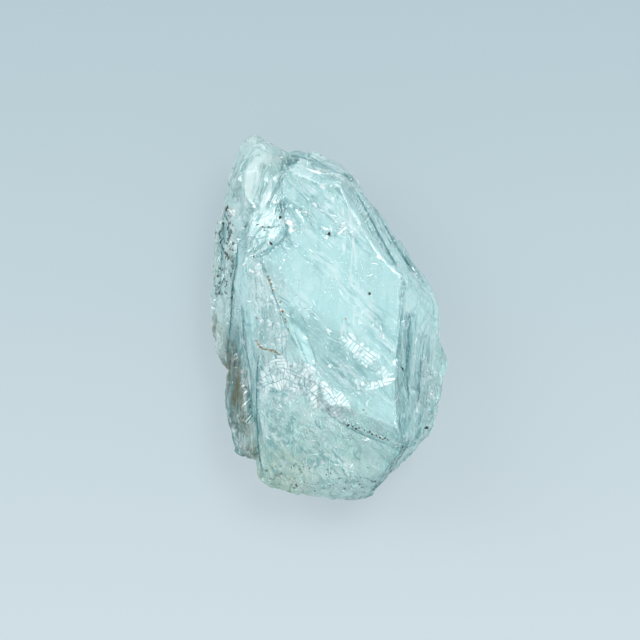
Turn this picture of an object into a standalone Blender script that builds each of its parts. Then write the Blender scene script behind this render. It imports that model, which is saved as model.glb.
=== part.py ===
"""Rough aquamarine crystal, one natural piece, modelled as it was broken from its vein.

The stone lies on its broad back face. +Z points up through the clear front face (the table),
+Y runs along the crystal towards its horn, and the origin is at the centre of the underside.

It is made the way such a stone comes about: a main block bounded by fracture planes, with thin
flakes of the same crystal still attached round it, and shell-shaped scoops where chips sprang off.
Every fracture block is the hull of a few corners, the blocks are joined into one solid, and each
scoop is cut by a large ball. Corners, places and radii are in millimetres.
"""

import math

import bmesh
import bpy
from mathutils import Matrix, Vector

MM = 0.001

# Overall size: the outline is 22.4 mm wide and 34.4 mm long.
HALF_WIDTH = 11.2
HALF_LENGTH = 17.2

# The table is one clear fracture plane. It rises gently towards the right and the foot.
TABLE_HEIGHT = 13.1
TABLE_RISE_X = 0.05
TABLE_RISE_Y = -0.09

# A beryl surface: the colour of the clear stone in its thin parts, and its gloss.
STONE_COLOUR = (0.62, 0.88, 0.88, 1.0)
STONE_ROUGHNESS = 0.12
STONE_METALLIC = 0.0
STONE_IOR = 1.577

SCOOP_DETAIL = 5


def on_table(x, y):
    """The point of the table's plane above (x, y)."""
    return (x, y, TABLE_HEIGHT + TABLE_RISE_X * x + TABLE_RISE_Y * y)


MAIN_BLOCK = [
    # Rim of the table, clockwise from the top.
    on_table(-2.7, 14.6),
    on_table(1.5, 12.8),
    on_table(2.9, 10.3),
    on_table(4.8, 7.3),
    on_table(6.7, 4.3),
    on_table(6.8, 1.7),
    on_table(6.6, -8.6),
    on_table(7.0, -12.0),
    on_table(1.5, -9.8),
    on_table(-0.7, -6.8),
    on_table(-2.7, -3.0),
    on_table(-4.3, 0.6),
    on_table(-8.4, 7.3),
    on_table(-6.3, 10.0),
    on_table(-5.4, 12.8),
    # Left shoulder, below the grey side face.
    (-8.1, 4.0, 11.1),
    (-7.9, 1.2, 10.7),
    (-7.1, -1.1, 10.6),
    (-6.6, -3.2, 10.4),
    (-6.3, -7.7, 9.6),
    (-5.9, -11.5, 8.4),
    (-5.5, -14.8, 6.8),
    # Right shoulder.
    (8.1, 2.6, 11.8),
    (8.4, -1.1, 11.5),
    (8.1, -5.8, 11.2),
    (7.6, -10.5, 11.6),
    # Waist, where the outline is widest.
    (-9.2, 1.7, 6.5),
    (-9.3, -1.6, 6.0),
    (-8.2, -7.7, 5.5),
    (-6.7, -13.3, 4.5),
    (-6.5, -15.6, 4.5),
    (-5.6, -16.4, 4.7),
    (-2.3, -16.4, 5.0),
    (2.0, -HALF_LENGTH, 5.0),
    (3.9, -16.8, 5.5),
    (4.2, 10.6, 6.0),
    (6.0, 7.9, 6.0),
    (7.9, 5.1, 6.2),
    (9.7, 2.9, 6.3),
    (10.25, 1.4, 6.5),
    (10.3, -0.4, 6.4),
    (10.0, -3.4, 6.0),
    (8.6, -10.0, 6.0),
    (5.6, -14.6, 5.5),
    # Underside, the flat back that the stone lies on.
    (-6.2, 10.8, 0.0),
    (-1.5, 12.4, 0.0),
    (2.6, 9.4, 0.0),
    (6.3, 4.2, 0.0),
    (8.0, -1.0, 0.0),
    (7.3, -7.7, 0.0),
    (4.2, -13.9, 0.0),
    (-1.0, -15.0, 0.0),
    (-5.2, -12.9, 0.0),
    (-8.1, -6.0, 0.0),
    (-8.8, 0.5, 0.0),
    (-8.3, 6.5, 0.0),
]

HORN = [
    (-7.2, HALF_LENGTH, 6.5),
    (-7.6, 17.0, 6.4),
    (-8.2, 16.3, 6.0),
    (-8.8, 14.8, 6.0),
    (-9.4, 12.9, 6.2),
    (-10.0, 10.4, 5.5),
    (-9.6, 8.4, 6.0),
    (-6.4, 17.0, 6.2),
    (-5.0, 16.1, 5.5),
    (-4.0, 15.6, 6.0),
    (-6.8, 16.0, 8.8),
    (-5.6, 15.2, 9.6),
    (-7.9, 13.0, 10.8),
    (-6.8, 13.2, 11.0),
    (-8.9, 10.0, 10.4),
    (-8.3, 10.4, 10.6),
    (-8.8, 7.9, 9.4),
    (-4.2, 14.6, 8.0),
    (-6.8, 12.8, 1.2),
    (-3.5, 12.7, 1.2),
    (-7.5, 8.0, 1.5),
    (-3.5, 8.0, 3.0),
]

LEFT_FLAKE = [
    (-10.1, 10.3, 5.0),
    (-10.7, 8.1, 5.0),
    (-10.8, 5.5, 5.2),
    (-HALF_WIDTH, 3.1, 5.0),
    (-HALF_WIDTH, 1.7, 4.6),
    (-10.9, -1.6, 4.4),
    (-10.6, -3.4, 4.2),
    (-9.8, -5.0, 4.4),
    (-9.1, 8.4, 8.0),
    (-9.3, 3.0, 7.6),
    (-9.4, -2.2, 6.6),
    (-6.0, 8.0, 3.0),
    (-6.0, 0.0, 2.0),
    (-7.0, -5.0, 2.5),
    (-8.8, 5.0, 0.9),
    (-9.0, 0.0, 0.9),
]

FOOT_FLAKE = [
    (-9.7, -4.9, 5.0),
    (-9.9, -7.7, 4.6),
    (-10.0, -10.5, 4.4),
    (-9.4, -12.1, 4.6),
    (-8.5, -12.9, 4.6),
    (-6.8, -13.5, 4.8),
    (-9.3, -1.8, 6.2),
    (-8.3, -7.5, 7.6),
    (-7.0, -12.4, 6.8),
    (-6.0, -4.0, 3.0),
    (-5.0, -11.0, 3.0),
    (-8.2, -5.0, 1.0),
    (-7.4, -11.0, 1.0),
]

RIGHT_FLAKE = [
    (10.2, -1.0, 5.6),
    (10.7, -3.0, 5.4),
    (HALF_WIDTH, -4.4, 5.2),
    (11.0, -7.0, 4.8),
    (10.45, -9.4, 4.6),
    (9.3, -11.3, 4.6),
    (7.3, -13.0, 4.6),
    (5.5, -14.9, 4.8),
    (9.0, -2.6, 8.8),
    (9.4, -7.0, 7.8),
    (8.4, -10.4, 8.0),
    (6.6, -12.8, 8.0),
    (6.0, -2.0, 3.0),
    (5.0, -9.0, 3.0),
    (3.0, -13.0, 3.0),
    (8.6, -3.0, 1.2),
    (7.8, -8.0, 1.0),
]

TOP_FLAKE = [
    (-4.3, 15.4, 5.8),
    (-3.0, 15.9, 5.8),
    (-1.0, 15.6, 5.4),
    (1.1, 14.5, 5.4),
    (2.8, 12.9, 5.8),
    (4.3, 10.5, 5.6),
    (-2.8, 14.9, 9.2),
    (1.4, 13.1, 9.6),
    (-3.0, 10.0, 3.0),
    (1.0, 9.0, 3.0),
    (-1.5, 12.8, 1.2),
]

BLOCKS = {
    "horn": HORN,
    "left_flake": LEFT_FLAKE,
    "foot_flake": FOOT_FLAKE,
    "right_flake": RIGHT_FLAKE,
    "top_flake": TOP_FLAKE,
}

# Each scoop: the deepest point of the surface that it bites into, the way it faces, the radius of
# its ball and the depth of the bite.
SCOOPS = {
    "chip_beside_horn": ((-5.4, 9.6, 12.2), (-0.35, 0.1, 1.0), 11.0, 0.6),
    "groove_beside_horn": ((-6.5, 12.2, 11.3), (-0.3, 0.0, 1.0), 5.0, 0.7),
    "horn_hollow": ((-9.0, 11.4, 9.4), (-0.9, 0.1, 0.7), 14.0, 0.45),
    "flank_hollow": ((8.6, -4.4, 10.4), (0.9, -0.05, 0.5), 30.0, 0.65),
    "right_shoulder_chip": ((8.8, 3.0, 9.0), (0.85, 0.55, 0.35), 20.0, 0.3),
    "bevel_hollow": ((4.6, 9.0, 9.8), (0.8, 0.55, 0.5), 24.0, 0.5),
    "top_hollow": ((-0.6, 14.2, 10.6), (0.2, 0.8, 0.8), 14.0, 0.4),
    "left_slab_hollow": ((-9.7, 6.6, 7.8), (-0.9, 0.2, 0.6), 16.0, 0.4),
    "left_foot_hollow": ((-8.6, -7.6, 7.2), (-0.8, 0.0, 0.7), 18.0, 0.4),
    "lower_face_hollow": ((-2.4, -13.0, 9.4), (-0.15, -0.6, 0.9), 32.0, 0.35),
    "foot_chip": ((-3.8, -15.6, 2.4), (-0.3, -1.0, -0.3), 16.0, 0.5),
    "back_chip_left": ((-9.2, -7.4, 2.0), (-1.0, -0.4, -0.5), 20.0, 0.6),
    "back_chip_side": ((-9.8, 4.0, 2.0), (-1.0, 0.2, -0.6), 22.0, 0.5),
    "back_chip_right": ((9.2, -6.0, 2.0), (1.0, -0.3, -0.5), 20.0, 0.5),
    "back_chip_top": ((4.2, 8.4, 2.4), (0.8, 0.7, -0.4), 18.0, 0.5),
    "back_chip_horn": ((-6.4, 13.2, 2.2), (-0.2, 0.8, -0.7), 14.0, 0.4),
}


def clear_scene():
    """Removes every object that the scene starts with."""
    for old in list(bpy.data.objects):
        bpy.data.objects.remove(old)


def new_collection(name):
    """A collection in the scene."""
    made = bpy.data.collections.new(name)
    bpy.context.scene.collection.children.link(made)
    return made


def new_object(name, shape, collection):
    """An object holding a bmesh, which is freed."""
    mesh = bpy.data.meshes.new(name)
    shape.to_mesh(mesh)
    shape.free()
    made = bpy.data.objects.new(name, mesh)
    collection.objects.link(made)
    return made


def fracture_block(name, corners, collection):
    """The block whose fracture planes pass through these corners: their hull."""
    shape = bmesh.new()
    for corner in corners:
        shape.verts.new(Vector(corner) * MM)
    hull = bmesh.ops.convex_hull(shape, input=shape.verts)
    inside = [v for v in hull["geom_interior"] if isinstance(v, bmesh.types.BMVert)]
    bmesh.ops.delete(shape, geom=inside, context="VERTS")
    bmesh.ops.dissolve_limit(
        shape, angle_limit=math.radians(1.0), verts=shape.verts, edges=shape.edges
    )
    bmesh.ops.recalc_face_normals(shape, faces=shape.faces)
    return new_object(name, shape, collection)


def scoop_ball(name, place, facing, radius, depth, collection):
    """The ball whose surface passes `depth` below `place`, with its centre out along `facing`."""
    outwards = Vector(facing).normalized()
    centre = Vector(place) + outwards * (radius - depth)
    shape = bmesh.new()
    bmesh.ops.create_icosphere(
        shape,
        subdivisions=SCOOP_DETAIL,
        radius=radius * MM,
        matrix=Matrix.Translation(centre * MM),
    )
    return new_object(name, shape, collection)


def hide(helper):
    """Keeps a helper out of the render."""
    helper.hide_render = True
    helper.display_type = "WIRE"
    return helper


def combine(crystal, operation, helper):
    """Joins a helper to the crystal, or cuts it away."""
    boolean = crystal.modifiers.new(helper.name, "BOOLEAN")
    boolean.operation = operation
    boolean.object = hide(helper)


def stone_material():
    """Glossy blue-green beryl."""
    material = bpy.data.materials.new("aquamarine")
    material.use_nodes = True
    surface = material.node_tree.nodes["Principled BSDF"]
    surface.inputs["Base Color"].default_value = STONE_COLOUR
    surface.inputs["Roughness"].default_value = STONE_ROUGHNESS
    surface.inputs["Metallic"].default_value = STONE_METALLIC
    surface.inputs["IOR"].default_value = STONE_IOR
    return material


clear_scene()
stone = new_collection("aquamarine_crystal")
helpers = new_collection("helpers")
crystal = fracture_block("crystal", MAIN_BLOCK, stone)
crystal.data.materials.append(stone_material())
for name, corners in BLOCKS.items():
    combine(crystal, "UNION", fracture_block(name, corners, helpers))
for name, (place, facing, radius, depth) in SCOOPS.items():
    combine(crystal, "DIFFERENCE", scoop_ball(name, place, facing, radius, depth, helpers))
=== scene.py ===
"""Looks for the rough aquamarine crystal: a clear blue-green stone that lies on its broad back.

One new piece stands for the CAD crystal, with its fracture surfaces worked out finely, and the
pieces after it are what is sealed in the stone, from its silvery fractures to its mineral grains.
"""

import math

import bpy
import numpy as np
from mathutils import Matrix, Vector


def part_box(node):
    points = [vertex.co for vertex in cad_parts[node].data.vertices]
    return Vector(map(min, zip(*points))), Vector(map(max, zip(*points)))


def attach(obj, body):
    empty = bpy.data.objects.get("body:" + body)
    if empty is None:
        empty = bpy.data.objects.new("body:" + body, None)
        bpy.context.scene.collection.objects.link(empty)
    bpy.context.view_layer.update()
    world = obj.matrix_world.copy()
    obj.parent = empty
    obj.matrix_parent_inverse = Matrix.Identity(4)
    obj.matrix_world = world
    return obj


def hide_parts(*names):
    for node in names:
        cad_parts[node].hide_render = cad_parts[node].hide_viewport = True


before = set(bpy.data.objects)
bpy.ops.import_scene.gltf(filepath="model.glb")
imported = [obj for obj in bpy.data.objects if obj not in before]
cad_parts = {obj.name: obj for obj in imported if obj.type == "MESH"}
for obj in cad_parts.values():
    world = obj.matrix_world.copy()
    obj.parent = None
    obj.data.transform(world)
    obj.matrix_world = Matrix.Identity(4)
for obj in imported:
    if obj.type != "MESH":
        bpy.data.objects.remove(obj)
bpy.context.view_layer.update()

# ------------------------------------------------------------------------------------------------
# The crystal. The real piece is one broken lump of beryl, clear and pale blue-green. Nothing has
# shaped it but fracture: flat clear planes, striated flanks, hackly steps and shell-like ripples.
# Places on it are fractions of its half width and half length from its middle.

MM = 0.001
low, high = (np.array(corner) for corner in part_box("crystal"))
middle = (low + high) / 2
half = (high - low) / 2
CORE_HEIGHT = 0.44
CELL = 0.182 * MM
PROUD = 0.26
SHARP_ANGLE = 32
TINT_STRENGTH = 0.85
GRAIN_STRETCH = 0.85

core = np.array([middle[0], middle[1], low[2] + CORE_HEIGHT * (high[2] - low[2])])


def box_lattice(counts):
    """Unit vectors and quads over a closed box of counts[0] x counts[1] x counts[2] cells.

    Each side of the box is a grid of two parameters, and its points are pushed out by the tangent
    of their angle, which spaces the directions evenly. Points on shared edges are made one.
    """
    size = np.array(counts) + 1
    sides = []
    for axis in range(3):
        u, v = (a for a in range(3) if a != axis)
        gu, gv = np.meshgrid(np.arange(counts[u]), np.arange(counts[v]), indexing="ij")
        for end in (0, counts[axis]):
            quad = np.zeros(gu.shape + (4, 3), int)
            for corner, (du, dv) in enumerate(((0, 0), (1, 0), (1, 1), (0, 1))):
                quad[..., corner, u] = gu + du
                quad[..., corner, v] = gv + dv
                quad[..., corner, axis] = end
            turned = (end == 0) != (axis == 1)
            sides.append((quad[..., ::-1, :] if turned else quad).reshape(-1, 4, 3))
    quads = np.concatenate(sides)
    code = (quads[..., 0] * size[1] + quads[..., 1]) * size[2] + quads[..., 2]
    unique, index = np.unique(code.ravel(), return_inverse=True)
    grid = np.stack([unique // (size[2] * size[1]), unique // size[2] % size[1], unique % size[2]], 1)
    return np.tan((grid / counts * 2 - 1) * math.pi / 4), index.reshape(-1, 4)


def corners_of(node):
    """The corners of a CAD node's triangles, as an array of 3 points for each."""
    mesh = node.data
    mesh.calc_loop_triangles()
    points = np.empty(len(mesh.vertices) * 3, np.float32)
    mesh.vertices.foreach_get("co", points)
    index = np.empty(len(mesh.loop_triangles) * 3, np.int32)
    mesh.loop_triangles.foreach_get("vertices", index)
    return points.reshape(-1, 3).astype(float)[index.reshape(-1, 3)]


def reach(origin, rays, triangles):
    """How many times each ray fits between the origin and the farthest triangle that it meets.

    A ray is written as a sum of a triangle's three corners: where all three shares are positive
    the ray meets it, and one over their sum is the distance. Only the rays inside the triangle's
    cone are tried.
    """
    unit = rays / np.linalg.norm(rays, axis=1)[:, None]
    found = np.zeros(len(rays))
    for triangle in triangles - origin:
        if abs(np.linalg.det(triangle)) < 1e-15:
            continue
        arms = triangle / np.linalg.norm(triangle, axis=1)[:, None]
        axis = arms.sum(0) / np.linalg.norm(arms.sum(0))
        near = np.flatnonzero(unit @ axis >= (arms @ axis).min() - 1e-9)
        shares = rays[near] @ np.linalg.inv(triangle)
        total = shares.sum(1)
        hit = (shares.min(1) >= -1e-9) & (total > 0)
        found[near[hit]] = np.maximum(found[near[hit]], 1 / total[hit])
    return found


def mean_around(values, edges):
    """The mean of each point's neighbours along the edges."""
    count = np.bincount(edges.ravel(), minlength=len(values))
    sums = [
        np.bincount(edges[:, 0], column[edges[:, 1]], len(values))
        + np.bincount(edges[:, 1], column[edges[:, 0]], len(values))
        for column in values.T
    ]
    return np.stack(sums, 1) / count[:, None]


def outwards(points, quads):
    """Unit normals at the points: the sum of the cross products of their quads' diagonals."""
    across = np.cross(points[quads[:, 2]] - points[quads[:, 0]], points[quads[:, 3]] - points[quads[:, 1]])
    sums = [
        sum(np.bincount(quads[:, c], across[:, k], len(points)) for c in range(4)) for k in range(3)
    ]
    normals = np.stack(sums, 1)
    return normals / np.linalg.norm(normals, axis=1)[:, None]


def fade(value, start, end):
    """0 at start, 1 at end, and a smooth step between."""
    part = np.clip((value - start) / (end - start), 0, 1)
    return part * part * (3 - 2 * part)


def cloud(points, cell, seed):
    """Smooth noise from -1 to 1: random values at the corners of cubes, blended across each cube."""
    values = np.random.default_rng(seed).uniform(-1, 1, (32, 32, 32))
    place = points / cell
    base = np.floor(place).astype(int)
    part = place - base
    part = part * part * (3 - 2 * part)
    total = np.zeros(len(points))
    for corner in np.ndindex(2, 2, 2):
        weight = np.where(corner, part, 1 - part).prod(1)
        x, y, z = ((base + corner) % 32).T
        total += weight * values[x, y, z]
    return total


def chips(points, cell, seed):
    """Broken facets: each point's height above its nearest centre's own tilted plane, in cells.

    One centre lies somewhere in each cube of side `cell`, and the 27 cubes round a point are tried.
    The plane through a centre has a random tilt, so the facets meet in steps.
    """
    draws = np.random.default_rng(seed)
    jitter = draws.random((32, 32, 32, 3))
    tilts = draws.uniform(-1, 1, (32, 32, 32, 3))
    place = points / cell
    base = np.floor(place).astype(int)
    nearest = np.full(len(points), 9.0)
    height = np.zeros(len(points))
    for offset in np.ndindex(3, 3, 3):
        cube = base + np.array(offset) - 1
        x, y, z = (cube % 32).T
        gap = place - cube - jitter[x, y, z]
        square = (gap * gap).sum(1)
        closer = square < nearest
        nearest = np.where(closer, square, nearest)
        height = np.where(closer, (gap * tilts[x, y, z]).sum(1), height)
    return height


def ridges(points, cell, seed):
    """Sharp lines, from 0 to 1, where smooth noise passes through zero."""
    return 1 - np.abs(cloud(points, cell, seed))


# The fine surface starts on the CAD crystal's own, found along rays from its core, and is eased once.
rays, quads = box_lattice([round(2 * h / CELL) for h in half])
rays = rays * half
cad_triangles = corners_of(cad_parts["crystal"])
stone = core + rays * reach(core, rays, cad_triangles)[:, None]
edges = np.concatenate([quads[:, [0, 1]], quads[:, [1, 2]], quads[:, [2, 3]], quads[:, [3, 0]]])
edges = np.unique(np.sort(edges, 1), axis=0)
stone = (stone + mean_around(stone, edges)) / 2
normals = outwards(stone, quads)
up = normals[:, 2]
u = (stone[:, 0] - middle[0]) / half[0]
v = (stone[:, 1] - middle[1]) / half[1]


def patch(centre, radii, turn=0.0, soft=0.45):
    """1 inside an ellipse on the stone's plan, fading to 0 across its rim. turn is in degrees."""
    c, s = math.cos(math.radians(turn)), math.sin(math.radians(turn))
    x, y = (u - centre[0]) * half[0], (v - centre[1]) * half[1]
    along, across = x * c + y * s, y * c - x * s
    radius = np.hypot(along / (radii[0] * half[0]), across / (radii[1] * half[0]))
    return 1 - fade(radius + cloud(stone, 1.3 * MM, 3) * 0.18, 1 - soft, 1 + soft)


def stretched(direction, ratio):
    """The stone's points squeezed along one direction, so that noise on them runs out in lines."""
    direction = np.array(direction) / np.linalg.norm(direction)
    along = stone @ direction
    return stone - np.outer(along * (1 - 1 / ratio), direction)


def along_path(path, count):
    """A smooth run of points through a path's own points, by a cubic through each four of them."""
    path = np.array(path, float)
    path = np.concatenate([2 * path[:1] - path[1:2], path, 2 * path[-1:] - path[-2:-1]])
    t = np.linspace(0, len(path) - 3 - 1e-9, count)
    i = np.floor(t).astype(int)
    f = (t - i)[:, None]
    p0, p1, p2, p3 = path[i], path[i + 1], path[i + 2], path[i + 3]
    square, cube = 2 * p0 - 5 * p1 + 4 * p2 - p3, 3 * p1 - p0 - 3 * p2 + p3
    return 0.5 * (2 * p1 + (p2 - p0) * f + square * f**2 + cube * f**3)


def beside(path, count):
    """Each point's distance along a path and its signed distance across it, in mm, and the path's
    own width there. The path is a run of straight pieces, and the nearest of them is taken."""
    line = along_path([(*place, 0.0) if len(place) == 2 else place for place in path], count)
    knots = line[:, :2] * half[:2] / MM
    here = np.stack([u, v], 1) * half[:2] / MM
    nearest = np.full(len(here), 1e9)
    along, across, width = np.zeros(len(here)), np.zeros(len(here)), np.zeros(len(here))
    passed = 0.0
    for start, end, wide, wide_after in zip(knots[:-1], knots[1:], line[:-1, 2], line[1:, 2]):
        arm = end - start
        length = math.hypot(*arm)
        gap = here - start
        share = np.clip(gap @ arm / length**2, 0, 1)
        side = arm[0] * gap[:, 1] - arm[1] * gap[:, 0]
        distance = np.hypot(*(gap - share[:, None] * arm).T)
        closer = distance < nearest
        nearest = np.where(closer, distance, nearest)
        along = np.where(closer, passed + gap @ arm / length, along)
        across = np.where(closer, distance * np.sign(side), across)
        width = np.where(closer, wide + share * (wide_after - wide), width)
        passed += length
    return along, across, width


height_share = (stone[:, 2] - low[2]) / (high[2] - low[2])
high_up = fade(height_share, 0.5, 0.7)
table = fade(up, 0.93, 0.985) * high_up
resting = 1 - fade(stone[:, 2], low[2] + 0.1 * MM, low[2] + 0.7 * MM)
right_flank = patch((0.82, -0.25), (0.26, 0.95), soft=0.25)
upper_bevel = patch((0.48, 0.48), (0.13, 0.75), turn=32)
top_face = patch((0.02, 0.86), (0.46, 0.13), turn=-28)
left_slab = patch((-0.92, 0.22), (0.14, 0.95), soft=0.3)
grey_face = patch((-0.58, -0.02), (0.22, 0.62), turn=8)
lower_face = patch((-0.12, -0.72), (0.55, 0.48), soft=0.25)
lower_corner = patch((-0.45, -0.88), (0.28, 0.24))
horn = patch((-0.66, 0.82), (0.24, 0.50))
foot = patch((-0.82, -0.47), (0.17, 0.62), soft=0.3)

# Where two fractures meet, the edge is bruised into bundles of hair cracks that run along it, and the dark
# lines laid along them are partly painted shade of the edges. Each path has the reach of its bundle in mm
# and its strength.
SEAMS = [
    ([(-0.53, 0.82), (-0.56, 0.72), (-0.60, 0.62), (-0.66, 0.52), (-0.74, 0.42)], 0.65, 0.9),
    ([(-0.26, 0.86), (-0.35, 0.79), (-0.45, 0.69), (-0.52, 0.60)], 0.3, 0.9),
    ([(-0.40, 0.62), (-0.37, 0.53), (-0.36, 0.46), (-0.42, 0.40), (-0.51, 0.36), (-0.58, 0.34)], 0.45, 0.8),
    ([(-0.30, 0.89), (-0.16, 0.86), (0.05, 0.79), (0.26, 0.74), (0.40, 0.62)], 0.7, 0.85),
    ([(0.19, 0.71), (0.28, 0.61), (0.41, 0.45), (0.53, 0.30), (0.61, 0.18)], 0.25, 0.8),
    ([(0.40, 0.60), (0.53, 0.43), (0.67, 0.29), (0.79, 0.20)], 0.5, 0.85),
    ([(0.61, 0.16), (0.58, -0.07), (0.555, -0.23), (0.55, -0.37), (0.57, -0.50), (0.61, -0.67)], 0.35, 0.9),
    ([(0.66, 0.02), (0.645, -0.15), (0.64, -0.34), (0.66, -0.55)], 0.8, 0.65),
    ([(-0.76, 0.43), (-0.77, 0.30), (-0.81, 0.15), (-0.82, 0.0), (-0.85, -0.14), (-0.86, -0.25)], 0.28, 0.7),
    ([(-0.88, 0.60), (-0.90, 0.40), (-0.92, 0.15)], 0.5, 0.6),
    ([(-0.72, 0.05), (-0.70, -0.15), (-0.67, -0.33), (-0.64, -0.52)], 0.6, 0.4),
    ([(-0.58, -0.20), (-0.60, -0.36), (-0.605, -0.50), (-0.595, -0.67), (-0.56, -0.86)], 0.40, 0.65),
    ([(0.66, -0.66), (0.55, -0.77), (0.455, -0.87), (0.36, -0.96)], 0.7, 1.0),
    ([(-0.57, 0.34), (-0.50, 0.20), (-0.43, 0.08), (-0.36, -0.04), (-0.26, -0.16)], 0.25, 0.6),
    ([(-0.80, -0.15), (-0.82, -0.35), (-0.84, -0.55), (-0.80, -0.70)], 0.7, 0.35),
    ([(-0.16, -0.40), (0.02, -0.52), (0.20, -0.60), (0.42, -0.66), (0.60, -0.71)], 0.12, 0.5),
    ([(0.80, -0.10), (0.76, -0.25), (0.74, -0.45)], 0.6, 0.5),
    ([(-0.30, 0.62), (-0.20, 0.56), (-0.13, 0.46)], 0.6, 0.4),
    ([(-0.10, 0.50), (0.02, 0.44), (0.14, 0.50)], 0.4, 0.3),
    ([(-0.29, -0.06), (-0.235, -0.15), (-0.17, -0.255)], 0.07, 0.4),
    ([(-0.20, -0.05), (-0.155, -0.14), (-0.11, -0.225), (-0.13, -0.26), (-0.17, -0.255)], 0.07, 0.4),
]
seam = np.zeros((len(stone), 3))
for path, spread, strength in SEAMS:
    along, across, _ = beside(path, 16)
    length = along.max()
    ends = fade(along, -0.6, 0.3) * (1 - fade(along, length - 0.3, length + 0.6))
    here = strength * np.exp(-(across / spread) ** 2) * ends
    seam = np.where((here > seam[:, 2])[:, None], np.stack([across, along, here], 1), seam)
seam[:, 2] *= fade(up, -0.1, 0.2)

# Faint healed cracks just under the skin, broken into courses of small plates. Paths hold the half
# width of the course in mm, and each course has a strength at its start and end. The courses are
# shifted along themselves, so that no two have the same plates.
FILM_STRIPS = [
    ([(-0.24, 0.24, 0.15), (-0.12, 0.13, 0.3), (0.02, 0.01, 0.45), (0.12, -0.08, 0.6), (0.24, -0.17, 0.85)],
     0.4, 0.62),
    ([(-0.62, -0.36, 0.3), (-0.45, -0.33, 1.9), (-0.20, -0.36, 2.0), (0.04, -0.47, 1.2), (0.14, -0.55, 0.2)],
     0.5, 0.5),
    ([(-0.43, 0.48, 0.3), (-0.36, 0.54, 0.7), (-0.29, 0.50, 0.6), (-0.28, 0.42, 0.3)], 0.55, 0.55),
    ([(-0.60, 0.30, 0.6), (-0.52, 0.16, 1.1), (-0.46, 0.02, 1.3), (-0.40, -0.14, 1.0)], 0.52, 0.46),
    ([(0.74, -0.20, 0.3), (0.84, -0.34, 0.9), (0.86, -0.52, 0.6)], 0.5, 0.45),
]
STRIP_SHIFT = 20
film = np.zeros((len(stone), 3))
for number, (path, first, last) in enumerate(FILM_STRIPS):
    along, across, width = beside(path, 18)
    inside = np.clip(0.5 + (width - np.abs(across)) * 1.2, 0, 1)
    inside *= fade(along, -0.2, 0.2) * (1 - fade(along, along.max() - 0.2, along.max() + 0.2))
    inside *= np.clip(first + (last - first) * along / along.max(), 0, 1)
    here = np.stack([along + STRIP_SHIFT * number, across, inside], 1)
    film = np.where((inside > film[:, 2])[:, None], here, film)
film[:, 2] *= fade(up, 0.2, 0.5)

# How broken the stone is: less on its clear table, and in each region its own share of fine cracks.
broken = 1 - 0.9 * table
gathered = fade(cloud(stone, 2.2 * MM, 31), -0.2, 0.6)
LIVELY = [
    (grey_face, 0.75), (lower_face, 0.46), (top_face, 0.55), (right_flank, 0.55), (left_slab, 0.18),
    (foot, 0.45), (horn, 0.55), (table, 0.22), (patch((0.80, 0.08), (0.16, 0.28)), 0.15),
    (patch((-0.68, 0.0), (0.07, 0.55), 6), 0.18), (patch((-0.42, 0.50), (0.16, 0.22)), 0.80),
    (patch((-0.08, 0.66), (0.22, 0.20)), 0.5), (patch((0.10, 0.46), (0.16, 0.10)), 0.6),
    (patch((0.40, -0.10), (0.12, 0.26), 25), 0.55), (patch((0.25, -0.30), (0.30, 0.20), -40), 0.5),
]
lively = np.full(len(stone), 0.45)
for share, level in LIVELY:
    lively += (level - lively) * share
lively = np.clip(np.maximum(lively, 0.6 * seam[:, 2]) * (0.65 + 0.6 * gathered), 0, 1)
along_seam = np.stack([seam[:, 0], seam[:, 1] * 0.14, 0 * u], 1) * MM
flank = 1 - fade(up, 0.4, 0.8)
striated = np.maximum.reduce([right_flank, left_slab, foot])

# What is carved away, in mm: a slow swell, the bundles along the seams, then chips and ridges. Chips
# have a depth, the line that they run along, how much longer they are on it, their size in mm, a seed
# and a mask. Ridges have the same, with the power of their edge.
CHIPS = [
    (0.22, (0.3, 1, 0.2), 1.9, 2.4, 21, broken * (0.3 + 0.7 * np.maximum(lively, flank))),
    (0.15, (-0.4, 1, 0.1), 1.7, 1.15, 22, broken * np.maximum(lively, 0.8 * flank)),
    (0.08, (0.2, 1, -0.1), 2.2, 0.7, 25, lively),
    (0.010, (0.7, -0.7, 0), 1.8, 1.6, 23, table),
]
RIDGES = [
    (0.12, (0.1, 1, 0.05), 8, 0.8, 14, 3, striated * broken),
    (0.14, (0.88, -0.47, 0), 9, 0.7, 17, 3, top_face),
    (0.12, (0.52, -0.85, 0), 9, 0.7, 16, 3, upper_bevel),
    (0.16, (0, 1, 0), 1, 0.7, 18, 4, np.maximum(left_slab, 0.5 * foot)),
]
carve = 0.20 + 0.08 * cloud(stone, 2.6 * MM, 11) * broken
carve += 0.26 * ridges(along_seam, 0.62 * MM, 24) ** 3 * seam[:, 2]
for depth, line, ratio, size, seed, mask in CHIPS:
    carve += depth * chips(stretched(line, ratio), size * MM, seed) * mask
for depth, line, ratio, size, seed, power, mask in RIDGES:
    carve += depth * ridges(stretched(line, ratio), size * MM, seed) ** power * mask
carve = (np.clip(carve, 0, None) * (1 - 0.6 * resting) - PROUD) * MM
stone = np.clip(stone - normals * carve[:, None], low, high)
normals = outwards(stone, quads)
hollow = ((mean_around(stone, edges) - stone) * normals).sum(1) / MM

crystal_mesh = bpy.data.meshes.new("aquamarine")
crystal_mesh.from_pydata(stone.tolist(), [], quads.tolist())
crystal_mesh.shade_smooth()
crystal_mesh.set_sharp_from_angle(angle=math.radians(SHARP_ANGLE))
crystal = bpy.data.objects.new("aquamarine", crystal_mesh)
bpy.context.scene.collection.objects.link(crystal)
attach(crystal, "root")
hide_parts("crystal")
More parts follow.
